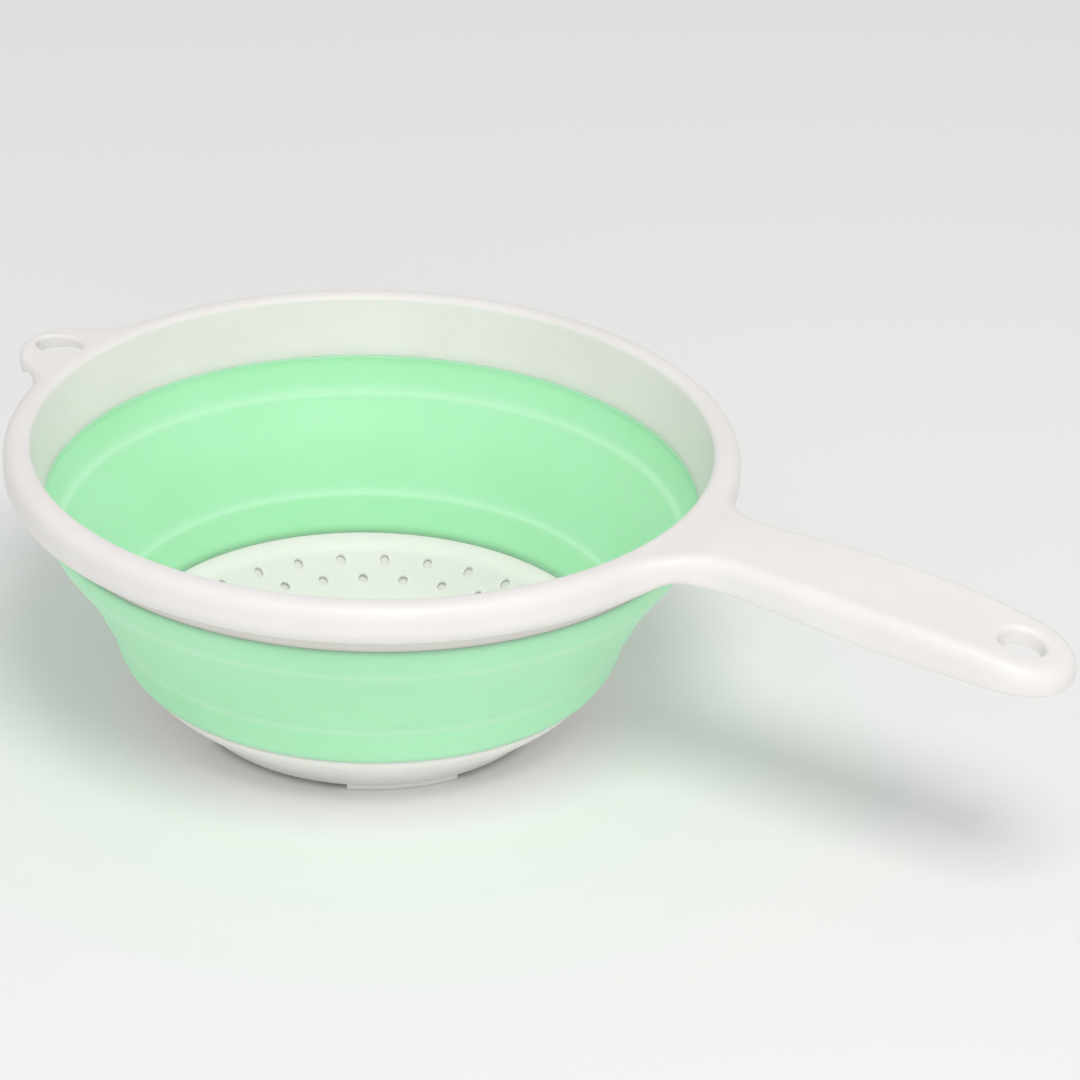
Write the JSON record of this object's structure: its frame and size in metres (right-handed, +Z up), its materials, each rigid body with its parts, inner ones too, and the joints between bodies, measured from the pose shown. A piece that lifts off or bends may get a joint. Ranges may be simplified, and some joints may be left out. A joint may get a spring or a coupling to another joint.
{
  "type": "collapsible colander",
  "caption": "Round collapsible colander: white rolled rim with a long hanging handle and a rest ear, soft green folding wall, perforated white base on low feet.",
  "frame": {"origin": "on the bowl's axis, in the plane that the feet stand on", "axes": "+X from the bowl's axis along the handle, +Z up along the bowl's axis, +Y completes the right-handed frame"},
  "size_m": [0.3734, 0.2304, 0.0968],
  "materials": {
    "white_plastic": "satin moulded polypropylene",
    "mint_rubber": "matte soft thermoplastic rubber"
  },
  "bodies": {
    "base": {"base": "white_plastic", "wall_lower_band": "mint_rubber", "fold_ring_lower": "mint_rubber"},
    "wall_middle": {"wall_middle_band": "mint_rubber"},
    "wall_upper": {"wall_upper_band": "mint_rubber", "fold_ring_middle": "mint_rubber"},
    "frame": {"frame": "white_plastic", "wall_top_band": "mint_rubber", "fold_ring_upper": "mint_rubber"}
  },
  "joints": [
    {"name": "collapse", "type": "slide", "parent": "base", "child": "frame", "axis": [0, 0, -1], "range_m": [0, 0.05], "deforming": ["fold_ring_upper"]},
    {"name": "upper_band_slide", "type": "slide", "parent": "base", "child": "wall_upper", "axis": [0, 0, -1], "range_m": [0, 0.036], "deforming": ["fold_ring_middle"]},
    {"name": "middle_band_slide", "type": "slide", "parent": "base", "child": "wall_middle", "axis": [0, 0, -1], "range_m": [0, 0.02], "deforming": ["fold_ring_lower"]}
  ],
  "couplings": [
    {"joint": "upper_band_slide", "follows": "collapse", "ratio": 0.72},
    {"joint": "middle_band_slide", "follows": "collapse", "ratio": 0.4}
  ]
}
